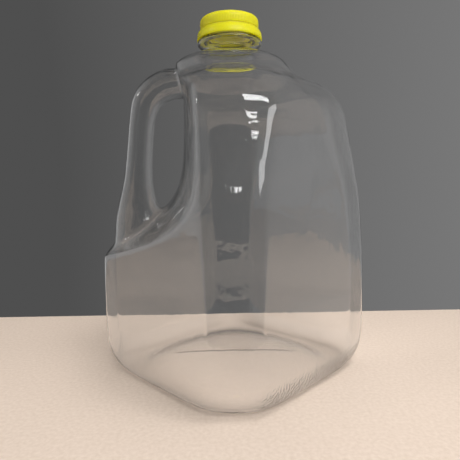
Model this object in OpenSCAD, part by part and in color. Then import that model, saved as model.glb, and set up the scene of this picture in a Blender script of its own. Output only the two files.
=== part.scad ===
// Clear one-gallon water jug with a see-through hollow handle and a screw cap.
// Origin: centre of the base, on the surface that the jug stands on. +Z is up.
// The handle corner points to -X, so the two broad corners beside it point to -Y and +Y.

/* [Bottle] */
// Distance from the axis to each flat side, at its widest
side_r = 78; // [75:0.5:82]
// Distance from the axis to each cut corner, at its widest
corner_r = 94; // [91:0.5:98]
// Height where the neck leaves the shoulder dome
neck_z = 225.5; // [222:0.5:232]
// Wall thickness of the blown bottle
wall = 0.7; // [0.5:0.1:1.2]
// How high the middle of the base is pushed up
push_up = 8; // [4:0.5:12]

/* [Handle] */
// Distance from the axis to the bottle wall that faces the fingers
recess_x = 33; // [30:0.5:38]
// Height of the ridge under the finger gap
ledge_z = 117.5; // [112:0.5:122]
// Half of the handle's width across the fingers, at its thinnest
grip_half_depth = 13; // [10:0.5:15]

/* [Neck and cap] */
// Outer radius of the neck wall
neck_r = 17.8; // [17.5:0.1:18]
// Thickness of the neck wall
neck_wall = 1.7; // [1.4:0.1:2.2]
// Outer radius of the cap's skirt, over its ribs
cap_r = 20.8; // [20.6:0.1:21.6]
// Height of the cap above its tamper band
cap_h = 7.5; // [7.4:0.1:8.6]
// Number of grip ribs around the cap
rib_count = 120; // [60:6:132]
// Height gained by the cap in one full turn
thread_lead = 9; // [8.4:0.1:9.6]

/* [Hidden] */
$fn = 96;

clear_plastic = [0.86, 0.93, 0.94, 0.35];
cap_yellow = [0.98, 0.93, 0.08];
liner_white = [0.93, 0.93, 0.9];

around = 48;
rings_per_row = 2;
crease = 20;
recess_bow = 12;
ledge_spread = 28;
ledge_fall = 14;
ledge_tilt = 0.2;

// Bottle profile from the middle of the base up to the neck.
// Each row: height, distance to the flat sides, distance to the corners, roundness in plan.
body_rows = [
    [push_up, 6, 6, 1],
    [push_up * 0.93, 30, 32, 0.6],
    [push_up * 0.5, 53, 60, 0.2],
    [0, side_r - 17, corner_r - 21, 0],
    [0, side_r - 12, corner_r - 15.5, 0],
    [2.2, side_r - 6.5, corner_r - 9.5, 0],
    [7, side_r - 2.8, corner_r - 4.8, 0],
    [16, side_r - 0.8, corner_r - 1.6, 0],
    [32, side_r, corner_r - 0.2, 0],
    [60, side_r, corner_r, 0],
    [81, side_r - 0.1, corner_r - 0.7, 0],
    [121, side_r - 0.7, corner_r - 3.4, 0],
    [146, side_r - 1.7, corner_r - 7.6, 0],
    [168, side_r - 3.1, corner_r - 12.2, 0],
    [182, side_r - 5.4, corner_r - 14.9, 0],
    [191, side_r - 9.8, corner_r - 17.6, 0],
    [198.5, side_r - 16.3, corner_r - 21.4, 0],
    [203, 57, 64, 0.1],
    [207, 49, 55, 0.3],
    [211, 43.5, 47, 0.6],
    [215.5, 41, 43, 0.8],
    [neck_z - 5.3, 38.5, 39.5, 0.9],
    [neck_z - 1.9, 34, 34.5, 1],
    [neck_z - 0.4, 28.5, 28.5, 1],
    [neck_z - 0.1, 22, 22, 1],
    [neck_z, neck_r, neck_r, 1],
];

// Handle centre line from inside the shoulder down to inside the lower corner.
// Each row: x, height, half thickness in the plane of the handle, half width across the fingers.
grip_rows = [
    [-22, 207, 9.7, grip_half_depth + 2.5],
    [-39, 209, 10.3, grip_half_depth + 2],
    [-52, 205, 10, grip_half_depth + 1],
    [-60.5, 196.5, 9.6, grip_half_depth + 0.5],
    [-64.5, 183, 8.8, grip_half_depth],
    [-67, 162, 8.8, grip_half_depth],
    [-69, 140, 10, grip_half_depth + 0.5],
    [-70, 125, 13, grip_half_depth + 2],
    [-70, 114, 15.5, grip_half_depth + 3.5],
    [-72, 101, 15, grip_half_depth + 5],
    [-73.5, 87, 14, grip_half_depth + 6],
    [-73.5, 73, 13, grip_half_depth + 6],
];
grip_around = 24;
grip_rings_per_row = 2;

// Heights of the closure, from the neck up.
support_ring_z = neck_z + 8.6;
support_ring_h = 3.1;
support_ring_r = 22.8;
support_ring_taper = 3;
band_z = neck_z + 12.3;
band_h = 7;
band_flare = 2.5;
band_wall = 0.9;
band_gap = 0.3;
cap_z = band_z + band_h + band_gap;
cap_top = cap_z + cap_h;
cap_plate = 1.5;
rib_depth = 0.3;
cap_wall = 1.4;
liner_h = 0.7;
rim_gap = 0.1;
neck_top = cap_top - cap_plate - liner_h - 2 * rim_gap;
bead_z = band_z + 3.8;
bead_r = 18.9;
thread_starts = 3;
neck_thread_turn = 70;
cap_thread_turn = 80;
thread_play = 1.25;
thread_depth = 1.05;
thread_bite = 0.35;
thread_base = 1.6;
thread_crest = 0.8;
thread_z = cap_z + 2.1;
cap_bore_r = cap_r - cap_wall;

function blend(p0, p1, p2, p3, t) =
    0.5 * (2 * p1 + (p2 - p0) * t + (2 * p0 - 5 * p1 + 4 * p2 - p3) * t * t
    + (3 * p1 - p0 - 3 * p2 + p3) * t * t * t);

// A smooth run of rows that passes through every row of the list.
function smooth_rows(rows, steps) = let (last = len(rows) - 1) concat(
    [for (i = [0:last - 1]) for (k = [0:steps - 1])
        blend(rows[max(i - 1, 0)], rows[i], rows[i + 1], rows[min(i + 2, last)], k / steps)],
    [rows[last]]
);

// Distance from the axis to the wall behind the fingers, at a height and a distance from the mid plane.
function recess(z, y) =
    recess_x - recess_bow * pow(y / side_r, 2) + max(0, z - 196) * 0.25
    + ledge_spread * ln(1 + exp((ledge_z - z - ledge_tilt * abs(y)) / ledge_fall));

// Sum over the four flat sides and four cut corners: the higher crease is, the sharper the edges.
function side_sum(phi, side, corner) =
    let (terms = [for (k = [0:7]) pow(max(0, cos(phi - 45 * k)) / (k % 2 == 0 ? corner : side), crease)])
    terms[0] + terms[1] + terms[2] + terms[3] + terms[4] + terms[5] + terms[6] + terms[7];

function recessed_r(phi, z, sum, r, tries) =
    tries == 0 ? r : recessed_r(phi, z, sum,
        pow(sum + pow(max(0, -cos(phi)) / recess(z, r * sin(phi)), crease), -1 / crease), tries - 1);

function body_r(phi, row) =
    let (sum = side_sum(phi, row[1], row[2]))
    let (plain = pow(sum, -1 / crease))
    let (cut = row[0] < 40 ? plain : recessed_r(phi, row[0], sum, plain, 6))
    cut + (min(row[2], max(cut, row[3] * row[2])) - cut) * row[3];

// Heights stop at 0, so that the standing ring is flat.
function body_point(phi, row) = let (r = body_r(phi, row)) [r * cos(phi), r * sin(phi), max(0, row[0])];

function outward(grid, i, j, n) =
    let (across = grid[i][(j + 1) % n] - grid[i][(j + n - 1) % n])
    let (along = grid[min(i + 1, len(grid) - 1)][j] - grid[max(i - 1, 0)][j])
    let (normal = cross(across, along))
    normal / norm(normal);

// The same grid moved inwards by a wall; its first and last rings stay level.
function inset_grid(grid, t) = let (n = len(grid[0]), last = len(grid) - 1)
    [for (i = [0:last]) [for (j = [0:n - 1]) let (p = grid[i][j])
        i == last ? [p[0] * (1 - t / norm([p[0], p[1]])), p[1] * (1 - t / norm([p[0], p[1]])), p[2]]
        : i == 0 ? p + [0, 0, t] : p - t * outward(grid, i, j, n)]];

function ring_faces(count, n) = concat(
    [for (i = [0:count - 2]) for (j = [0:n - 1]) each
        let (a = i * n + j, b = i * n + (j + 1) % n) [[a, a + n, b], [b, a + n, b + n]]],
    [[for (j = [0:n - 1]) j]],
    [[for (j = [n - 1:-1:0]) (count - 1) * n + j]]
);

module solid_of(grid) {
    polyhedron(points = [for (ring = grid) each ring], faces = ring_faces(len(grid), len(grid[0])), convexity = 6);
}

body_grid = [for (row = smooth_rows(body_rows, rings_per_row))
    [for (j = [0:around - 1]) body_point(360 * j / around, row)]];

module body_outside() {
    solid_of(body_grid);
}

module body_inside() {
    inside = inset_grid(body_grid, wall);
    solid_of(concat(inside, [[for (p = inside[len(inside) - 1]) p + [0, 0, 1]]]));
}

function grip_ring(rows, i, less) =
    let (last = len(rows) - 1, row = rows[i])
    let (run = rows[min(i + 1, last)] - rows[max(i - 1, 0)])
    let (side = [-run[1], run[0]] / norm([run[0], run[1]]))
    [for (j = [0:grip_around - 1]) let (a = 360 * j / grip_around)
        let (u = (row[2] - less) * cos(a), v = (row[3] - less) * sin(a))
        [row[0] + side[0] * u, -v, row[1] + side[1] * u]];

module grip_solid(less) {
    rows = smooth_rows(grip_rows, grip_rings_per_row);
    solid_of([for (i = [0:len(rows) - 1]) grip_ring(rows, i, less)]);
}

// One ridge of the thread between two radii. It follows the helix from a first angle on, moved down by a drop.
module thread_ridge(root, crest, first, turn, drop) {
    steps = 24;
    side = sign(root - crest) / 2;
    solid_of([for (i = [0:steps])
        let (a = first + turn * i / steps, h = thread_z - drop + thread_lead * a / 360)
        let (fade = min(1, 5 * min(i, steps - i) / steps + 0.05))
        let (tip = root + (crest - root) * fade)
        let (corners = [[root, -thread_base], [tip, -thread_crest], [tip, thread_crest], [root, thread_base]])
        [for (q = corners) [q[0] * cos(a), q[0] * sin(a), h + q[1] * side]]]);
}

module bottle_body() {
    color(clear_plastic) resize([0, 0, 0]) difference() {
        body_outside();
        body_inside();
        grip_solid(wall);
    }
}

module bottle_handle() {
    color(clear_plastic) resize([0, 0, 0]) difference() {
        grip_solid(0);
        grip_solid(wall);
        body_outside();
    }
}

module bottle_neck() {
    bore = neck_r - neck_wall;
    color(clear_plastic) {
        rotate_extrude() polygon([
            [bore, neck_z],
            [neck_r, neck_z],
            [neck_r, support_ring_z - support_ring_taper],
            [support_ring_r - 0.5, support_ring_z],
            [support_ring_r, support_ring_z + 0.6],
            [support_ring_r, support_ring_z + support_ring_h - 0.4],
            [support_ring_r - 0.4, support_ring_z + support_ring_h],
            [neck_r, support_ring_z + support_ring_h],
            [neck_r, bead_z],
            [bead_r, bead_z],
            [bead_r, bead_z + 0.4],
            [neck_r, bead_z + 1.8],
            [neck_r, neck_top - 0.6],
            [neck_r - 0.6, neck_top],
            [bore + 0.3, neck_top],
            [bore, neck_top - 0.3],
        ]);
        for (k = [0:thread_starts - 1]) rotate(360 * k / thread_starts)
            thread_ridge(neck_r - thread_bite, neck_r + thread_depth, 5, neck_thread_turn, 0);
    }
}

function ribbed_outline() = [for (k = [0:2 * rib_count - 1])
    let (r = k % 2 == 0 ? cap_r : cap_r - rib_depth, a = 180 * k / rib_count) [r * cos(a), r * sin(a)]];

module screw_cap() {
    shell_r = cap_r - rib_depth - 0.15;
    corner = 1.8;
    color(cap_yellow) union() {
        rotate_extrude() polygon(concat(
            [[0, cap_top - cap_plate], [cap_bore_r, cap_top - cap_plate], [cap_bore_r, cap_z], [shell_r, cap_z]],
            [for (a = [0:15:90]) [shell_r - corner + corner * cos(a), cap_top - corner + corner * sin(a)]],
            [[0, cap_top]]
        ));
        translate([0, 0, cap_z + 0.5]) linear_extrude(cap_h - corner - 0.9) difference() {
            polygon(ribbed_outline());
            circle(r = shell_r - 0.5);
        }
        for (k = [0:thread_starts - 1]) rotate(360 * k / thread_starts)
            thread_ridge(cap_bore_r + thread_bite, cap_bore_r - thread_depth, 10, cap_thread_turn, thread_play);
    }
}

module cap_liner() {
    color(liner_white) translate([0, 0, neck_top + rim_gap]) difference() {
        cylinder(r = cap_bore_r - 0.35, h = liner_h);
        translate([0, 0, -1]) cylinder(r = neck_r - neck_wall - 2, h = 1.25);
    }
}

module tamper_band() {
    top_r = cap_r - 0.1;
    foot_r = top_r + band_flare;
    color(cap_yellow) rotate_extrude() polygon([
        [foot_r - band_wall, band_z],
        [foot_r, band_z],
        [foot_r, band_z + 1.2],
        [top_r, band_z + band_h - 1.4],
        [top_r, band_z + band_h],
        [top_r - band_wall, band_z + band_h],
        [top_r - band_wall, band_z + 3.4],
        [18.2, band_z + 2.8],
        [18.2, band_z + 2.2],
        [top_r - band_wall + 0.6, band_z + 2.4],
    ]);
}

bottle_body();
bottle_handle();
bottle_neck();
screw_cap();
cap_liner();
tamper_band();
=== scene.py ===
"""Looks of a clear one-gallon water jug with a see-through handle and a yellow screw cap.

The bottle is one thin shell. Its outside is the zero surface of a smooth field: eight sides, a recess behind
the fingers, a pushed-up base and the handle's tube, blended into each other. The mesh of that surface is
moved inwards for the inside of the wall, and a neck of rings joins the two at the top.
"""

import math

import bpy
import numpy as np
from mathutils import Euler, Matrix, Vector


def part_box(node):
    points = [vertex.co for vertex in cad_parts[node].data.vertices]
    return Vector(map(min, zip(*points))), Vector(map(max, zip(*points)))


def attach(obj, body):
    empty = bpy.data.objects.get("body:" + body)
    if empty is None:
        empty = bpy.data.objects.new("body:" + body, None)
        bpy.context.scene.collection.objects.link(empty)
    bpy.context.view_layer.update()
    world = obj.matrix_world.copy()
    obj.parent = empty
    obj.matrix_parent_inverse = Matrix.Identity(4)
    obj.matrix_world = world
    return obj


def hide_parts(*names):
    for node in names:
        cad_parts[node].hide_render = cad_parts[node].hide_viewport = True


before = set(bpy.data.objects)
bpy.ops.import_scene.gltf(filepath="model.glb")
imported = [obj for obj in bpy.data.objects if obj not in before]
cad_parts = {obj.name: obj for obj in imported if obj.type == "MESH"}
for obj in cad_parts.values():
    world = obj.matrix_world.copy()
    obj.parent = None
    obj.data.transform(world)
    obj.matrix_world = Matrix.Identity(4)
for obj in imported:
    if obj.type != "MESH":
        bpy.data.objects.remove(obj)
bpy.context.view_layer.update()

MM = 0.001

# ---------------------------------------------------------------- driving sizes in millimetres


def node_box(name):
    """The lowest and the highest corner of a CAD node's box, in millimetres."""
    low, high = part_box(name)
    return np.array(low) / MM, np.array(high) / MM


body_high = node_box("bottle_body")[1]
neck_low, neck_high = node_box("bottle_neck")
cap_low, cap_high = node_box("screw_cap")
band_low, band_high = node_box("tamper_band")
liner_low, liner_high = node_box("cap_liner")

# Bottle: walls, neck and base.
corner_r = body_high[0]
side_r = corner_r - 16
neck_z = neck_low[2]
neck_top = neck_high[2]
neck_r = 17.8
bore_r = 16.1
wall = 0.7
push_up = 8
base_stretch = 1.16
base_edge = 1.6
# Half the width of the grid that the bottle's mesh is found on.
net_reach = 97

# Recess behind the fingers, the ledge under it, and the handle.
recess_x = 33
recess_bow = 12
recess_top_z = 196
recess_top_lean = 0.25
ledge_z = 117.5
ledge_spread = 28
ledge_fall = 14
ledge_tilt = 0.2
grip_half_depth = 13
grip_squareness = 2.6
grip_foot_blend = 10
grip_top_blend = 2.2

# Closure.
cap_r = cap_high[0]
cap_bore_r = cap_r - 1.4
band_foot_r = band_high[0]

thread_starts = 3
thread_lead = 9
thread_depth = 1.05
thread_run_out = 14
thread_half_crest = 0.35
thread_half_foot = 0.85
thread_z = cap_low[2] + 2.1
neck_thread_turn = 70
cap_thread_turn = 80
thread_play = 1.25

# ---------------------------------------------------------------- profile of the bottle


def smooth_rows(rows, steps):
    """A Catmull-Rom run of rows through every row of the list."""
    rows = np.array(rows, float)
    padded = np.vstack([rows[:1], rows, rows[-1:]])
    t = np.arange(steps)[:, None] / steps
    runs = []
    for p0, p1, p2, p3 in zip(padded, padded[1:], padded[2:], padded[3:]):
        runs.append(
            0.5
            * (
                2 * p1
                + (p2 - p0) * t
                + (2 * p0 - 5 * p1 + 4 * p2 - p3) * t**2
                + (3 * p1 - p0 - 3 * p2 + p3) * t**3
            )
        )
    return np.vstack(runs + [rows[-1:]])


# Each row: height, distance to the flat sides, distance to the corners, roundness in plan, sharpness of
# the edges.
wall_rows = smooth_rows(
    [
        [0, side_r - 12, corner_r - 15.5, 0, 13],
        [2.2, side_r - 6.5, corner_r - 9.5, 0, 15],
        [7, side_r - 2.8, corner_r - 4.8, 0, 20],
        [16, side_r - 0.8, corner_r - 1.6, 0, 45],
        [32, side_r, corner_r - 0.2, 0, 150],
        [60, side_r, corner_r, 0, 170],
        [81, side_r - 0.1, corner_r - 0.7, 0, 150],
        [121, side_r - 0.7, corner_r - 3.4, 0, 80],
        [146, side_r - 1.7, corner_r - 7.6, 0, 42],
        [168, side_r - 3.1, corner_r - 12.2, 0, 34],
        [182, side_r - 5.4, corner_r - 14.9, 0, 30],
        [191, side_r - 9.8, corner_r - 17.6, 0, 27],
        [198.5, side_r - 16.3, corner_r - 21.4, 0, 24],
        [203, 57, 64, 0.1, 22],
        [207, 49, 55, 0.3, 20],
        [211, 43.5, 47, 0.6, 20],
        [215.5, 41, 43, 0.8, 20],
        [neck_z - 5.3, 38.5, 39.5, 0.9, 20],
        [neck_z - 1.9, 34, 34.5, 1, 20],
        [neck_z - 0.4, 28.5, 28.5, 1, 20],
    ],
    10,
)

# Underside of the base: distance from the middle, height as a share of the push-up.
base_shape = [[0, 1], [14, 0.9875], [30, 0.925], [42, 0.7625], [53, 0.45], [59, 0.15], [63, 0.0125], [66, 0]]
base_rows = smooth_rows(base_shape, 10)
base_rows[:, 1] = np.maximum(base_rows[:, 1], 0) * push_up

# Handle centre line: x, height, half thickness in the handle's plane, half width across the fingers.
grip_rows = smooth_rows(
    [
        [-22, 207, 9.7, grip_half_depth + 2.5],
        [-39, 209, 10.3, grip_half_depth + 2],
        [-52, 205, 10, grip_half_depth + 1],
        [-60.5, 196.5, 9.6, grip_half_depth + 0.5],
        [-64.5, 183, 8.8, grip_half_depth],
        [-67, 162, 8.8, grip_half_depth],
        [-69, 140, 10, grip_half_depth + 0.5],
        [-70, 125, 13, grip_half_depth + 2],
        [-70, 114, 15.5, grip_half_depth + 3.5],
        [-72, 101, 15, grip_half_depth + 5],
        [-73.5, 87, 14, grip_half_depth + 6],
        [-73.5, 73, 13, grip_half_depth + 6],
    ],
    8,
)


def step(low, high, x):
    """0 below low, 1 above high, smooth between."""
    t = np.clip((x - low) / (high - low), 0, 1)
    return t * t * (3 - 2 * t)


def lower_of(a, b, blend):
    """The smaller of two fields, rounded over the blend where they meet."""
    h = np.maximum(blend - np.abs(a - b), 0) / blend
    return np.minimum(a, b) - h * h * blend / 4


def higher_of(a, b, blend):
    return -lower_of(-a, -b, blend)


def recess(y, z):
    """Distance from the axis to the wall behind the fingers, which runs out over the ledge below."""
    over_ledge = ledge_spread * np.logaddexp(0, (ledge_z - z - ledge_tilt * np.abs(y)) / ledge_fall)
    under_dome = np.maximum(0, z - recess_top_z) * recess_top_lean
    return recess_x - recess_bow * (y / side_r) ** 2 + under_dome + over_ledge


def wall_radius(x, y, z, row):
    """Distance from the axis to the bottle wall in the direction of (x, y), for a row of the profile."""
    side, corner, roundness, sharpness = row
    away = np.hypot(x, y) + 1e-9
    walls = [
        np.abs(x) / corner,
        np.abs(y) / corner,
        np.abs(x + y) / (side * math.sqrt(2)),
        np.abs(x - y) / (side * math.sqrt(2)),
        np.maximum(0, -x) / recess(y, z),
    ]
    nearest = np.maximum.reduce(walls) + 1e-9
    total = sum((wall_share / nearest) ** sharpness for wall_share in walls)
    cut = away / (nearest * total ** (1 / sharpness))
    return cut + (np.minimum(corner, np.maximum(cut, roundness * corner)) - cut) * roundness


def row_at(z):
    """The row of the profile at each height, without the height."""
    return [np.interp(z, wall_rows[:, 0], wall_rows[:, k]) for k in (1, 2, 3, 4)]


def body_field(x, y, z):
    """The walls and the underside of the base, whose push-up has the plan of the walls."""
    side = np.hypot(x, y) - wall_radius(x, y, z, row_at(z))
    span = (np.abs(x) / base_stretch) ** 8 + (np.abs(y) / base_stretch) ** 8
    span = span + (np.abs(x + y) / math.sqrt(2)) ** 8 + (np.abs(x - y) / math.sqrt(2)) ** 8
    under = np.interp(span ** (1 / 8), base_rows[:, 0], base_rows[:, 1]) - z
    return higher_of(side, under, base_edge)


def grip_field(x, y, z):
    """Rounded distance to the handle's tube, whose section is a slightly square ellipse."""
    out = np.full(x.shape, 40.0)
    near = (x < 0) & (np.abs(y) < 32) & (z > 50)
    for part in np.array_split(np.nonzero(near)[0], max(1, int(near.sum() / 40000))):
        px, py, pz = x[part], y[part], z[part]
        a, b = grip_rows[:-1], grip_rows[1:]
        run = b[:, :2] - a[:, :2]
        along = (px[:, None] - a[:, 0]) * run[:, 0] + (pz[:, None] - a[:, 1]) * run[:, 1]
        t = np.clip(along / (run**2).sum(1), 0, 1)
        gap = np.hypot(px[:, None] - a[:, 0] - t * run[:, 0], pz[:, None] - a[:, 1] - t * run[:, 1])
        best = gap.argmin(1)
        pick = np.arange(len(part))
        size = a[best] + (b[best] - a[best]) * t[pick, best][:, None]
        u, v = gap[pick, best] / size[:, 2], np.abs(py) / size[:, 3]
        far = (u**grip_squareness + v**grip_squareness + 1e-9) ** (1 / grip_squareness)
        power = grip_squareness - 1
        rise = np.hypot(u**power / size[:, 2], v**power / size[:, 3]) / far**power + 1e-3
        out[part] = (far - 1) / rise
    return out


def bottle_field(points):
    """Below 0 inside the bottle's outer surface, in millimetres. The handle's foot blends in more widely."""
    x, y, z = points.T
    blend = grip_foot_blend + (grip_top_blend - grip_foot_blend) * step(130, 165, z)
    return lower_of(body_field(x, y, z), grip_field(x, y, z), blend)


def slope_of(points, reach=0.05):
    """How fast the field rises along X, Y and Z."""
    out = np.zeros_like(points)
    for k in range(3):
        shift = np.zeros(3)
        shift[k] = reach
        out[:, k] = (bottle_field(points + shift) - bottle_field(points - shift)) / (2 * reach)
    return out


# ---------------------------------------------------------------- mesh of the field's zero surface


def field_grid(pitch, reach, top):
    """The field over a grid of points, and the place of the grid's first point."""
    flat = np.arange(-reach, reach + pitch, pitch)
    levels = top - pitch * np.arange(int((top + 3) / pitch), -1, -1)
    field = np.empty((len(flat), len(flat), len(levels)), np.float32)
    gx, gy = np.meshgrid(flat, flat, indexing="ij")
    for k, level in enumerate(levels):
        layer = np.stack([gx.ravel(), gy.ravel(), np.full(gx.size, level)], 1)
        field[:, :, k] = bottle_field(layer).reshape(gx.shape)
    return field, np.array([flat[0], flat[0], levels[0]])


def cell_points(field, cells, corners):
    """One point for each cell: the mean of the places where the surface cuts the cell's edges."""
    total = np.zeros((len(cells), 3))
    hits = np.zeros(len(cells))
    for axis in range(3):
        for corner in corners:
            if corner[axis]:
                continue
            a = cells + np.array(corner)
            b = a.copy()
            b[:, axis] += 1
            fa, fb = field[tuple(a.T)], field[tuple(b.T)]
            crosses = (fa < 0) != (fb < 0)
            t = np.where(crosses, fa / np.where(crosses, fa - fb, 1), 0)
            spot = a.astype(float)
            spot[:, axis] += t
            total[crosses] += spot[crosses]
            hits += crosses
    return total / hits[:, None]


def cell_quads(inside, number):
    """A quad round each grid edge that the surface cuts, between the four cells beside the edge."""
    shape = number.shape
    quads = []
    for axis in range(3):
        lo = [slice(None)] * 3
        hi = [slice(None)] * 3
        lo[axis], hi[axis] = slice(0, -1), slice(1, None)
        edges = np.argwhere(inside[tuple(lo)] != inside[tuple(hi)])
        u, v = [(1, 2), (2, 0), (0, 1)][axis]
        keep = (edges[:, u] > 0) & (edges[:, v] > 0) & (edges[:, u] < shape[u]) & (edges[:, v] < shape[v])
        edges = edges[keep]
        ring = []
        for du, dv in ((0, 0), (-1, 0), (-1, -1), (0, -1)):
            cell = edges.copy()
            cell[:, u] += du
            cell[:, v] += dv
            ring.append(number[tuple(cell.T)])
        quad = np.stack(ring, 1)
        outwards = inside[tuple(edges.T)]
        quad[~outwards] = quad[~outwards][:, ::-1]
        quads.append(quad)
    return np.vstack(quads)


def net_of(pitch, reach, top):
    """Points near the zero surface and the quads that join them, up to a level top where it stays open."""
    field, origin = field_grid(pitch, reach, top)
    inside = field < 0
    corners = [(i, j, k) for i in (0, 1) for j in (0, 1) for k in (0, 1)]
    shape = np.array(field.shape) - 1
    count = sum(
        inside[i : i + shape[0], j : j + shape[1], k : k + shape[2]].astype(np.int8) for i, j, k in corners
    )
    cells = np.argwhere((count > 0) & (count < 8))
    number = np.full(shape, -1, np.int64)
    number[tuple(cells.T)] = np.arange(len(cells))
    points = origin + pitch * cell_points(field, cells, corners)
    quads = cell_quads(inside, number)
    top_layer = cells[:, 2] == shape[2] - 1
    quads = quads[~top_layer[quads].all(1)]
    used = np.unique(quads)
    renumber = np.full(len(points), -1, np.int64)
    renumber[used] = np.arange(len(used))
    return points[used], renumber[quads]


def rim_chain(quads):
    """The open rim's points, in order round it."""
    edges = np.stack([quads, np.roll(quads, -1, 1)], 2).reshape(-1, 2)
    keys = np.sort(edges, 1)
    _, first, uses = np.unique(keys, axis=0, return_index=True, return_counts=True)
    follows = {int(a): int(b) for a, b in edges[first[uses == 1]]}
    start = next(iter(follows))
    chain = [start]
    while follows[chain[-1]] != start:
        chain.append(follows[chain[-1]])
    return chain


def settle(points, quads, fixed, rounds):
    """Evens out the mesh along the surface and puts every free point back on it."""
    edges = np.unique(np.sort(np.stack([quads, np.roll(quads, -1, 1)], 2).reshape(-1, 2), 1), axis=0)
    degree = np.bincount(edges.ravel(), minlength=len(points))[:, None]
    for _ in range(rounds):
        total = np.zeros_like(points)
        np.add.at(total, edges[:, 0], points[edges[:, 1]])
        np.add.at(total, edges[:, 1], points[edges[:, 0]])
        moved = 0.5 * points + 0.5 * total / degree
        points = np.where(fixed[:, None], points, moved)
        slope = slope_of(points)
        push = bottle_field(points)[:, None] * slope / np.maximum((slope**2).sum(1), 0.05)[:, None]
        points = np.where(fixed[:, None], points, points - np.clip(push, -1, 1))
    return points


def on_wall(angles, z, row):
    """Points of the wall at these angles and this height, for a row of the profile."""
    r = np.full(len(angles), 30.0)
    for _ in range(6):
        x, y = r * np.cos(angles), r * np.sin(angles)
        r = wall_radius(x, y, np.full(len(angles), z), row)
    return np.stack([r * np.cos(angles), r * np.sin(angles), np.full(len(angles), z)], 1)


def thread_height(angles, z, first, turn, drop):
    """How far the three-start thread stands out at these angles and this height."""
    out = np.zeros(len(angles))
    degrees = np.degrees(angles)
    for k in range(thread_starts):
        a = (degrees - 360 * k / thread_starts) % 360
        fade = step(first, first + thread_run_out, a)
        fade = fade * (1 - step(first + turn - thread_run_out, first + turn, a))
        centre = thread_z - drop + thread_lead * a / 360
        ridge = 1 - step(thread_half_crest, thread_half_foot, np.abs(z - centre))
        out = np.maximum(out, fade * ridge)
    return thread_depth * out


# Neck outside, from the dome's top up to the rim, and the bore down again: radius, height above neck_z.
# The support ring is blown hollow, so the bore follows it.
neck_foot = [[24.5, -0.2], [21.2, 0], [19.4, 0.35], [18.4, 0.95], [17.95, 1.6], [neck_r, 2.3]]
neck_foot += [[neck_r, 5.2]]
ring_under = [[18.2, 5.75], [19.6, 6.75], [21.4, 8], [22.35, 8.65], [22.75, 9.1], [22.8, 9.6]]
ring_top = [[22.8, 10.9], [22.65, 11.4], [22.2, 11.65], [19, 11.7], [18.2, 11.8], [neck_r, 12.1]]
snap_bead = [[neck_r, 15.7], [18.3, 15.9], [18.85, 16.15], [18.85, 16.5], [18.4, 17.3], [neck_r, 18.1]]
rim = [[neck_r, -0.75], [17.65, -0.35], [17.25, -0.08], [16.9, 0], [16.5, -0.05], [16.2, -0.25]]
rim += [[bore_r, -0.6]]
bore = [[bore_r, 18], [bore_r, 12.7], [16.4, 11.5], [17, 10.95], [18, 10.85], [21.3, 10.8]]
bore += [[21.8, 10.5], [21.9, 10], [21.8, 9.4], [20.9, 8.7], [17.8, 6.5], [17.1, 5.8], [16.9, 5]]
bore += [[16.95, 3.4], [17.15, 1.7]]
bore_foot = [[17.6, 0.5], [18.8, -0.3], [20.8, -0.8], [24.3, -0.93]]


def rings_at(angles, pairs, base):
    """One ring of points for each radius and height."""
    across, along = np.cos(angles), np.sin(angles)
    return [np.stack([r * across, r * along, np.full(len(angles), base + h)], 1) for r, h in pairs]


def neck_rings(angles, cut):
    """Rings of the dome's top and neck, from the outer rim of the net up, over and down to the inner one."""
    dome = [row for row in wall_rows[::2] if row[0] > cut + 0.6]
    outside = [on_wall(angles, row[0], row[1:]) for row in dome]
    threads = []
    for z in np.arange(neck_z + 18.4, neck_top - 1, 0.3):
        r = neck_r + thread_height(angles, z, 5, neck_thread_turn, 0)
        threads.append(np.stack([r * np.cos(angles), r * np.sin(angles), np.full(len(angles), z)], 1))
    rings = outside + rings_at(angles, neck_foot + ring_under + ring_top + snap_bead, neck_z)
    rings += threads + rings_at(angles, rim, neck_top)
    rings += rings_at(angles, bore + bore_foot, neck_z)
    rings += [points - wall * outward_of(points) for points in reversed(outside)]
    return rings


def outward_of(points):
    """Directions straight out of the bottle's surface."""
    slope = slope_of(points)
    return slope / np.linalg.norm(slope, axis=1)[:, None]


def strip(a, b):
    """Quads between two closed rings of point numbers."""
    return np.stack([a, np.roll(a, -1), np.roll(b, -1), b], 1)


def shell_mesh(pitch):
    """The whole bottle: the net of its outside, the same net moved in by the wall, and the neck's rings."""
    cut = round(neck_z - 8, 3)
    points, quads = net_of(pitch, net_reach, cut)
    chain = np.array(rim_chain(quads))
    angles = np.arctan2(points[chain, 1], points[chain, 0])
    points[chain] = on_wall(angles, cut, [float(v) for v in row_at(cut)])
    fixed = np.zeros(len(points), bool)
    fixed[chain] = True
    points = settle(points, quads, fixed, 4)
    inner = points - wall * outward_of(points)
    count = len(points)
    verts = [points, inner]
    faces = [quads, quads[:, ::-1] + count]
    rings = neck_rings(angles, cut)
    last = chain
    total = 2 * count
    for ring in rings:
        number = total + np.arange(len(chain))
        faces.append(strip(last, number)[:, ::-1])
        verts.append(ring)
        last = number
        total += len(chain)
    faces.append(strip(last, chain + count)[:, ::-1])
    return np.vstack(verts), np.vstack(faces)


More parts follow.
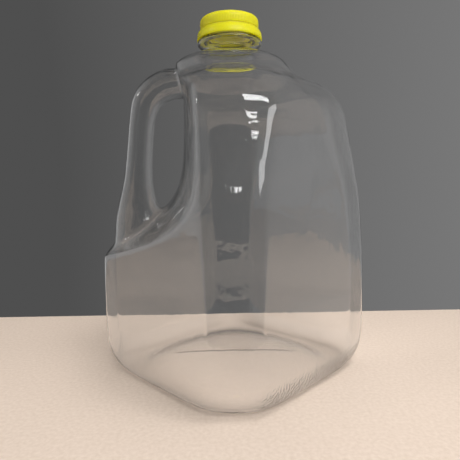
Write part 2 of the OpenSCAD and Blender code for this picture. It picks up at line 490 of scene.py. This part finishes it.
def mesh_object(name, verts, faces, material, body, slot):
    """A smooth mesh piece, from points in millimetres, that rides on a CAD body."""
    mesh = bpy.data.meshes.new(name)
    mesh.vertices.add(len(verts))
    mesh.vertices.foreach_set("co", (np.asarray(verts) * MM).astype(np.float32).ravel())
    sizes = np.array([len(f) for f in faces])
    mesh.loops.add(int(sizes.sum()))
    mesh.loops.foreach_set("vertex_index", np.concatenate([np.asarray(f) for f in faces]).astype(np.int32))
    mesh.polygons.add(len(sizes))
    mesh.polygons.foreach_set("loop_start", np.concatenate([[0], np.cumsum(sizes)[:-1]]).astype(np.int32))
    mesh.update(calc_edges=True)
    mesh.validate()
    mesh.polygons.foreach_set("use_smooth", [True] * len(mesh.polygons))
    mesh.materials.append(material)
    obj = bpy.data.objects.new(name, mesh)
    bpy.context.scene.collection.objects.link(obj)
    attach(obj, body)
    return obj


def lathe(profile, columns, shape=None):
    """A closed solid of revolution from a closed run of radius and height. A radius of 0 ends in one point.
    shape changes a ring's radii and heights: it takes the angles, r and z."""
    angles = 2 * math.pi * np.arange(columns) / columns
    verts, rings = [], []
    for r, z in profile:
        if r == 0:
            rings.append([len(verts)])
            verts.append([0, 0, z])
            continue
        radii, heights = np.full(columns, float(r)), np.full(columns, float(z))
        if shape:
            radii, heights = shape(angles, radii, heights)
        rings.append(list(range(len(verts), len(verts) + columns)))
        verts += np.stack([radii * np.cos(angles), radii * np.sin(angles), heights], 1).tolist()
    faces = []
    ends = len(rings) if profile[0][0] > 0 else len(rings) - 1
    for k in range(ends):
        a, b = rings[k], rings[(k + 1) % len(rings)]
        for j in range(columns):
            n = (j + 1) % columns
            if len(a) == 1:
                faces.append([a[0], b[n], b[j]])
            elif len(b) == 1:
                faces.append([a[j], a[n], b[0]])
            else:
                faces.append([a[j], a[n], b[n], b[j]])
    return np.array(verts), faces


# ---------------------------------------------------------------- materials

heel_tint = 0.72
yellow_glow = 0.5


def new_material(name):
    """An empty material with a Principled shader on its output."""
    material = bpy.data.materials.new(name)
    material.use_nodes = True
    tree = material.node_tree
    tree.nodes.clear()
    output = tree.nodes.new("ShaderNodeOutputMaterial")
    shader = tree.nodes.new("ShaderNodeBsdfPrincipled")
    tree.links.new(shader.outputs[0], output.inputs[0])
    return material, tree, shader, output


def noise(tree, scale, detail=3.0, stretch=(1, 1, 1)):
    """Noise over the object's own coordinates, in features per metre."""
    where = tree.nodes.new("ShaderNodeTexCoord")
    mapping = tree.nodes.new("ShaderNodeMapping")
    mapping.inputs["Scale"].default_value = stretch
    texture = tree.nodes.new("ShaderNodeTexNoise")
    texture.inputs["Scale"].default_value = scale
    texture.inputs["Detail"].default_value = detail
    tree.links.new(where.outputs["Object"], mapping.inputs[0])
    tree.links.new(mapping.outputs[0], texture.inputs["Vector"])
    return texture.outputs[0]


def to_range(tree, source, low, high, start=0.3, end=0.7):
    """The source's run from start to end, as a run from low to high."""
    node = tree.nodes.new("ShaderNodeMapRange")
    for k, value in enumerate((start, end, low, high), 1):
        node.inputs[k].default_value = value
    tree.links.new(source, node.inputs[0])
    return node.outputs[0]


def bump(tree, shader, height, distance, strength=1.0, under=None):
    """A relief on the shader, on top of the one under it."""
    node = tree.nodes.new("ShaderNodeBump")
    node.inputs["Strength"].default_value = strength
    node.inputs["Distance"].default_value = distance
    tree.links.new(height, node.inputs["Height"])
    if under:
        tree.links.new(under.outputs[0], node.inputs["Normal"])
    tree.links.new(node.outputs[0], shader.inputs["Normal"])
    return node


def math_node(tree, operation, a, b=None):
    node = tree.nodes.new("ShaderNodeMath")
    node.operation = operation
    tree.links.new(a, node.inputs[0])
    if b:
        tree.links.new(b, node.inputs[1])
    return node.outputs[0]


def product(tree, a, b):
    return math_node(tree, "MULTIPLY", a, b)


def object_axes(tree):
    """The object's own X, Y and Z, in metres."""
    where = tree.nodes.new("ShaderNodeTexCoord")
    parts = tree.nodes.new("ShaderNodeSeparateXYZ")
    tree.links.new(where.outputs["Object"], parts.inputs[0])
    return parts.outputs


def two_tone(tree, source, dark, light):
    """A colour between two, where the source runs from 0 to 1."""
    ramp = tree.nodes.new("ShaderNodeMix")
    ramp.data_type = "RGBA"
    ramp.inputs[6].default_value = (*dark, 1)
    ramp.inputs[7].default_value = (*light, 1)
    tree.links.new(source, ramp.inputs[0])
    return ramp.outputs[2]


def mixed(tree, output, first, second):
    """Puts a mix of two shaders on the output, and gives the socket for the second one's share."""
    mix = tree.nodes.new("ShaderNodeMixShader")
    tree.links.new(first.outputs[0], mix.inputs[1])
    tree.links.new(second.outputs[0], mix.inputs[2])
    tree.links.new(mix.outputs[0], output.inputs[0])
    return mix.inputs[0]


def stippled_heel(tree):
    """1 on the rounded heel of the side that faces +X and -Y, 0 elsewhere."""
    x, y, z = object_axes(tree)
    above = to_range(tree, z, 0, 1, 0.004, 0.008)
    below = to_range(tree, z, 1, 0, 0.013, 0.021)
    side = to_range(tree, math_node(tree, "SUBTRACT", x, y), 0, 1, 0.098, 0.112)
    return product(tree, product(tree, above, below), side)


def heel_shade(tree):
    """1 away from the thick rounded heel, lower on it: how much lamp light it lets through."""
    x, y, z = object_axes(tree)
    out = math_node(tree, "ADD", math_node(tree, "ABSOLUTE", x), math_node(tree, "ABSOLUTE", y))
    near_side = to_range(tree, out, 0, 1, 0.092, 0.1)
    low = to_range(tree, z, 1, 0, 0.008, 0.022)
    return to_range(tree, product(tree, near_side, low), 1, heel_tint, 0, 1)


def clear_plastic():
    """Blow-moulded PET: clear, glossy, wavy, with faint flow lines up the walls and a stippled heel.
    Light from lamps passes it with a small loss, more at a flat angle and in the heel."""
    material, tree, shader, output = new_material("clear_pet")
    shader.inputs["Base Color"].default_value = (0.985, 0.985, 0.985, 1)
    shader.inputs["Transmission Weight"].default_value = 1
    shader.inputs["IOR"].default_value = 1.57
    tree.links.new(to_range(tree, noise(tree, 60), 0.01, 0.04), shader.inputs["Roughness"])
    waves = bump(tree, shader, noise(tree, 24, 1.0, (1, 1, 0.6)), 0.0008, 0.7)
    dents = bump(tree, shader, noise(tree, 75, 1.5), 0.00022, 0.7, waves)
    flow = bump(tree, shader, noise(tree, 190, 1.0, (1, 1, 0.07)), 0.00006, 0.8, dents)
    grains = to_range(tree, noise(tree, 560, 2.0), 0, 1, 0.4, 0.75)
    bump(tree, shader, product(tree, grains, stippled_heel(tree)), 0.0003, 0.9, flow)
    tilt = tree.nodes.new("ShaderNodeLayerWeight")
    tint = to_range(tree, tilt.outputs["Facing"], 0.945, 0.2, 0.3, 1)
    through = tree.nodes.new("ShaderNodeBsdfTransparent")
    tree.links.new(product(tree, tint, heel_shade(tree)), through.inputs[0])
    path = tree.nodes.new("ShaderNodeLightPath")
    tree.links.new(path.outputs["Is Shadow Ray"], mixed(tree, output, shader, through))
    return material


def yellow_plastic():
    """Moulded polyethylene: satin, with light passing through the thin wall."""
    material, tree, shader, output = new_material("yellow_cap")
    colour = two_tone(tree, noise(tree, 90), (0.93, 0.86, 0.022), (0.97, 0.92, 0.04))
    tree.links.new(colour, shader.inputs["Base Color"])
    shader.inputs["Subsurface Weight"].default_value = 0.75
    shader.inputs["Subsurface Scale"].default_value = 0.006
    shader.inputs["Subsurface Radius"].default_value = (1, 0.9, 0.2)
    tree.links.new(to_range(tree, noise(tree, 400), 0.26, 0.4), shader.inputs["Roughness"])
    grain = bump(tree, shader, noise(tree, 1800, 2.0), 0.00004, 0.5)
    glow = tree.nodes.new("ShaderNodeBsdfTranslucent")
    tree.links.new(colour, glow.inputs[0])
    tree.links.new(grain.outputs[0], glow.inputs["Normal"])
    mixed(tree, output, shader, glow).default_value = yellow_glow
    return material


def foam_with_painted_cap_light():
    """Fine foam, matt. Its off-white is painted pale yellow: a painted glow of the yellow light that comes
    through the cap around it.
    """
    material, tree, shader, _ = new_material("foam_with_painted_cap_light")
    # The pale yellow is painted light, the cap's yellow light on off-white foam put into the colour.
    colour = two_tone(tree, noise(tree, 700), (0.82, 0.81, 0.42), (0.9, 0.89, 0.55))
    tree.links.new(colour, shader.inputs["Base Color"])
    tree.links.new(to_range(tree, noise(tree, 500), 0.6, 0.8), shader.inputs["Roughness"])
    bump(tree, shader, noise(tree, 2600, 2.0), 0.00008, 0.6)
    return material


def table_top():
    """Pale, matt, finely speckled laminate."""
    material, tree, shader, _ = new_material("table_top")
    speckle = to_range(tree, noise(tree, 420, 4.0), 0, 1)
    colour = two_tone(tree, speckle, (0.70, 0.565, 0.46), (0.78, 0.645, 0.54))
    tree.links.new(colour, shader.inputs["Base Color"])
    shader.inputs["Roughness"].default_value = 0.75
    bump(tree, shader, noise(tree, 900), 0.00008, 0.4)
    return material


# ---------------------------------------------------------------- pieces

pitch = 1.6
pet = clear_plastic()
yellow = yellow_plastic()

bottle = mesh_object("bottle", *shell_mesh(pitch), pet, "bottle", "clear_pet")
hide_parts("bottle_body", "bottle_handle", "bottle_neck")

weld_half = 47
weld_half_width = 1
weld_rise = 1
weld_sink = 0.1
weld_tip = 0.6
# Towards a corner, the base's profile is read at this share of the distance, as in body_field.
corner_span = 0.9


def under_height(x):
    """Height of the base's underside on the parting plane, which runs from corner to corner."""
    return float(np.interp(corner_span * x, base_rows[:, 0], base_rows[:, 1]))


def weld_mesh():
    """The pinched seam under the base: a thin ridge along the parting plane, its upper half in the wall."""
    around = 12
    verts, faces = [[-weld_half, 0, under_height(weld_half)]], []
    for x in np.linspace(-weld_half + weld_tip, weld_half - weld_tip, 60):
        taper = math.sqrt(1 - (x / weld_half) ** 4)
        centre = under_height(abs(x)) - weld_sink
        for k in range(around):
            turn = 2 * math.pi * k / around
            half_width, rise = weld_half_width * taper, weld_rise * taper
            verts.append([x, half_width * math.cos(turn), centre + rise * math.sin(turn)])
    verts.append([weld_half, 0, under_height(weld_half)])
    last = len(verts) - 1
    for j in range(around):
        n = (j + 1) % around
        faces.append([0, 1 + n, 1 + j])
        for first in range(1, last - around, around):
            faces.append([first + j, first + n, first + n + around, first + j + around])
        faces.append([last, last - around + j, last - around + n])
    return verts, faces


mesh_object("base_weld", *weld_mesh(), pet, "bottle", "clear_pet")

rib_count = 120
rib_depth = 0.16
cap_z, cap_top = cap_low[2], cap_high[2]
skirt_r = cap_r - rib_depth
plate_z = cap_top - 1.5
dish_z = cap_top - 0.3
cap_corner = 2.6
bridge_count = 12
stub_height = 0.2


def arc(cx, cz, radius, start, end, steps):
    """Points of an arc round (cx, cz), from one angle in degrees to another."""
    turns = np.radians(np.linspace(start, end, steps + 1))
    return [[cx + radius * math.cos(turn), cz + radius * math.sin(turn)] for turn in turns]


def cap_profile():
    """From the middle of the plate's underside, down the thread, round the skirt's foot, up and over."""
    inside = [[0, plate_z], [8, plate_z], [15, plate_z], [cap_bore_r - 0.6, plate_z]]
    inside += [[cap_bore_r, plate_z - 0.6]]
    inside += [[cap_bore_r, z] for z in np.arange(plate_z - 1, cap_z + 0.5, -0.3)]
    edge = [[cap_bore_r + 0.15, cap_z + 0.08], [cap_bore_r + 0.4, cap_z]]
    edge += [[skirt_r - 0.25, cap_z], [skirt_r, cap_z + 0.2]]
    skirt = [[skirt_r, z] for z in np.linspace(cap_z + 0.6, cap_top - cap_corner - 0.35, 10)]
    shoulder = arc(skirt_r - cap_corner, cap_top - cap_corner, cap_corner, 0, 90, 8)
    top = [[16.6, cap_top], [16.2, cap_top - 0.06], [15.9, cap_top - 0.24], [15.5, dish_z], [9, dish_z]]
    gate = [[1.5, dish_z], [1.2, dish_z + 0.03], [0.9, dish_z + 0.18], [0.5, dish_z + 0.25]]
    gate += [[0, dish_z + 0.25]]
    return inside + edge + skirt + shoulder + top + gate


def cap_shape(angles, radii, heights):
    """The thread on the cap's bore and the ribs on its skirt."""
    r, z = radii[0], heights[0]
    if abs(r - cap_bore_r) < 0.01:
        radii = radii - thread_height(angles, z, 10, cap_thread_turn, thread_play)
    if abs(r - skirt_r) < 0.01 and z > cap_z + 0.5:
        foot = step(cap_z + 0.5, cap_z + 0.9, z)
        head = 1 - step(cap_top - cap_corner - 0.7, cap_top - cap_corner - 0.1, z)
        radii = radii + rib_depth * foot * head * np.abs(np.cos(angles * rib_count / 2)) ** 0.7
    return radii, heights


def band_profile():
    """From the foot's outer edge up the flare, over the top, down to the snap lip and back to the foot."""
    top_r = cap_r - 0.1
    foot, thick = band_foot_r, 0.9
    outer = [[foot - 0.2, 0], [foot, 0.2], [foot, 1], [23.1, 2], [22.9, 3.2], [22.6, 4.3], [22.2, 5.1]]
    outer += [[21.7, 5.7], [21.1, 6.1], [top_r + 0.05, 6.3], [top_r, 6.5], [top_r, 6.85], [top_r - 0.15, 7]]
    inner = [[top_r - thick + 0.15, 7], [top_r - thick, 6.8], [top_r - thick, 3.5], [19.2, 3], [18.4, 2.85]]
    inner += [[18.2, 2.65], [18.2, 2.35], [18.4, 2.2], [19.6, 2.3], [20.6, 2], [foot - thick, 0.2]]
    return [[r, band_low[2] + h] for r, h in outer + inner + [[foot - thick + 0.2, 0]]]


def band_shape(angles, radii, heights):
    """The broken bridges leave small stubs on the band's top edge."""
    if heights[0] > band_high[2] - 0.05:
        stub = step(math.cos(math.radians(18)), math.cos(math.radians(9)), np.cos(angles * bridge_count))
        heights = heights - stub_height * (1 - stub)
    return radii, heights


cap = mesh_object("cap_shell", *lathe(cap_profile(), rib_count * 6, cap_shape), yellow, "cap", "yellow_cap")
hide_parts("screw_cap")
band = mesh_object("tamper_ring", *lathe(band_profile(), 288, band_shape), yellow, "band", "yellow_cap")
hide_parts("tamper_band")

liner_r, liner_z, liner_top = liner_high[0], liner_low[2], liner_high[2]
liner_edge = 0.15
liner_profile = [[0, liner_z + 0.25], [13.9, liner_z + 0.25], [14.1, liner_z + 0.05], [14.4, liner_z]]
liner_profile += [[liner_r - liner_edge, liner_z], [liner_r, liner_z + liner_edge]]
liner_profile += [[liner_r, liner_top - liner_edge], [liner_r - liner_edge, liner_top], [0, liner_top]]
liner = mesh_object("seal_disc", *lathe(liner_profile, 144), foam_with_painted_cap_light(), "seal", "liner")
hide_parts("cap_liner")

# ---------------------------------------------------------------- stage, light and camera


def slab(name, low, high, material):
    """A flat box with slightly rounded edges."""
    verts = [[x, y, z] for x in (low[0], high[0]) for y in (low[1], high[1]) for z in (low[2], high[2])]
    faces = [[0, 1, 3, 2], [4, 6, 7, 5], [0, 4, 5, 1], [2, 3, 7, 6], [0, 2, 6, 4], [1, 5, 7, 3]]
    mesh = bpy.data.meshes.new(name)
    mesh.from_pydata(verts, [], faces)
    mesh.materials.append(material)
    obj = bpy.data.objects.new(name, mesh)
    bpy.context.scene.collection.objects.link(obj)
    edge = obj.modifiers.new("edge", "BEVEL")
    edge.width = 0.001
    edge.segments = 3


slab("table", (-1.1, -0.21, -0.03), (1.1, 0.122, -0.0001), table_top())


def lamp(name, place, aim, size, watts, mirrored, along=(1, 0, 0)):
    """A rectangular lamp, its second side along a direction. Unmirrored, it lights matt surfaces only."""
    light = bpy.data.lights.new(name, "AREA")
    light.shape = "RECTANGLE"
    light.size, light.size_y = size
    light.energy = watts
    back = (Vector(place) - Vector(aim)).normalized()
    across = Vector(along).cross(back).normalized()
    obj = bpy.data.objects.new(name, light)
    obj.rotation_euler = Matrix((across, back.cross(across), back)).transposed().to_euler()
    obj.location = place
    obj.visible_transmission = False
    obj.visible_glossy = mirrored
    bpy.context.scene.collection.objects.link(obj)


middle = (0, 0, 0.15)
ceiling_z = 1.27
lamp("key", (0.4, -0.3, 1.15), middle, (0.4, 0.4), 5, False)
lamp("front_fill", (0.15, -0.9, 1.15), middle, (0.6, 0.4), 3.8, False)
lamp("low_fill", (0.3, -0.85, 0.1), (0, 0, 0.24), (0.3, 0.3), 4.3, False)
lamp("top_back", (0.05, 0.35, 1.25), middle, (0.6, 0.5), 2.5, False)
lamp("side_row", (1.29, -1.65, ceiling_z), middle, (0.3, 2.5), 13, True, (1.1, 2.3, 0))
lamp("left_spot", (-1.2, -0.5, 1), middle, (0.06, 0.3), 1.5, True, (0, 0, 1))
# Ceiling lamps, mirrored as short bars high on the front edge: X, Y, width, length, slant.
ceiling_power = 45
ceiling_lamps = [(0.5, -1.2, 0.2, 0.9, 0.45), (0.27, -1.983, 0.02, 0.1, 0)]
ceiling_lamps += [(0.185, -2.01, 0.025, 0.17, 0), (0.05, -3.25, 0.16, 0.07, 0)]
for number, (x, y, width, length, slant) in enumerate(ceiling_lamps):
    watts = ceiling_power * width * length
    lamp(f"ceiling_{number}", (x, y, ceiling_z), middle, (width, length), watts, True, (1, slant, 0))


def backdrop_world():
    """Plain grey: a little lighter towards +X, dark behind the camera, bright far out to both sides."""
    world = bpy.data.worlds.new("backdrop")
    world.use_nodes = True
    tree = world.node_tree
    tree.nodes.clear()
    where = tree.nodes.new("ShaderNodeTexCoord")
    parts = tree.nodes.new("ShaderNodeSeparateXYZ")
    tree.links.new(where.outputs["Generated"], parts.inputs[0])
    x, y, _ = parts.outputs
    across = to_range(tree, x, 0.078, 0.19, -0.35, 0.5)
    behind = to_range(tree, y, 0.35, 1.0, -0.6, 0.1)
    left = to_range(tree, x, 0.5, 0, -0.9, -0.5)
    right = to_range(tree, x, 0, 0.12, 0.55, 0.9)
    level = math_node(tree, "ADD", product(tree, across, behind), math_node(tree, "ADD", left, right))
    background = tree.nodes.new("ShaderNodeBackground")
    tree.links.new(level, background.inputs[0])
    output = tree.nodes.new("ShaderNodeOutputWorld")
    tree.links.new(background.outputs[0], output.inputs[0])
    bpy.context.scene.world = world


backdrop_world()
bpy.context.scene.view_settings.view_transform = "Standard"

view_down = 6.394
view_roll = -0.985
camera_data = bpy.data.cameras.new("camera")
camera_data.sensor_width = 36
camera_data.lens = 34.47
camera_data.clip_start = 0.01
camera = bpy.data.objects.new("camera", camera_data)
pitch_turn = Euler((math.radians(90 - view_down), 0, 0)).to_matrix()
roll_turn = Euler((0, 0, math.radians(view_roll))).to_matrix()
camera.rotation_euler = (pitch_turn @ roll_turn).to_euler()
camera.location = (-0.00199, -0.32915, 0.1385)
bpy.context.scene.collection.objects.link(camera)
bpy.context.scene.camera = camera
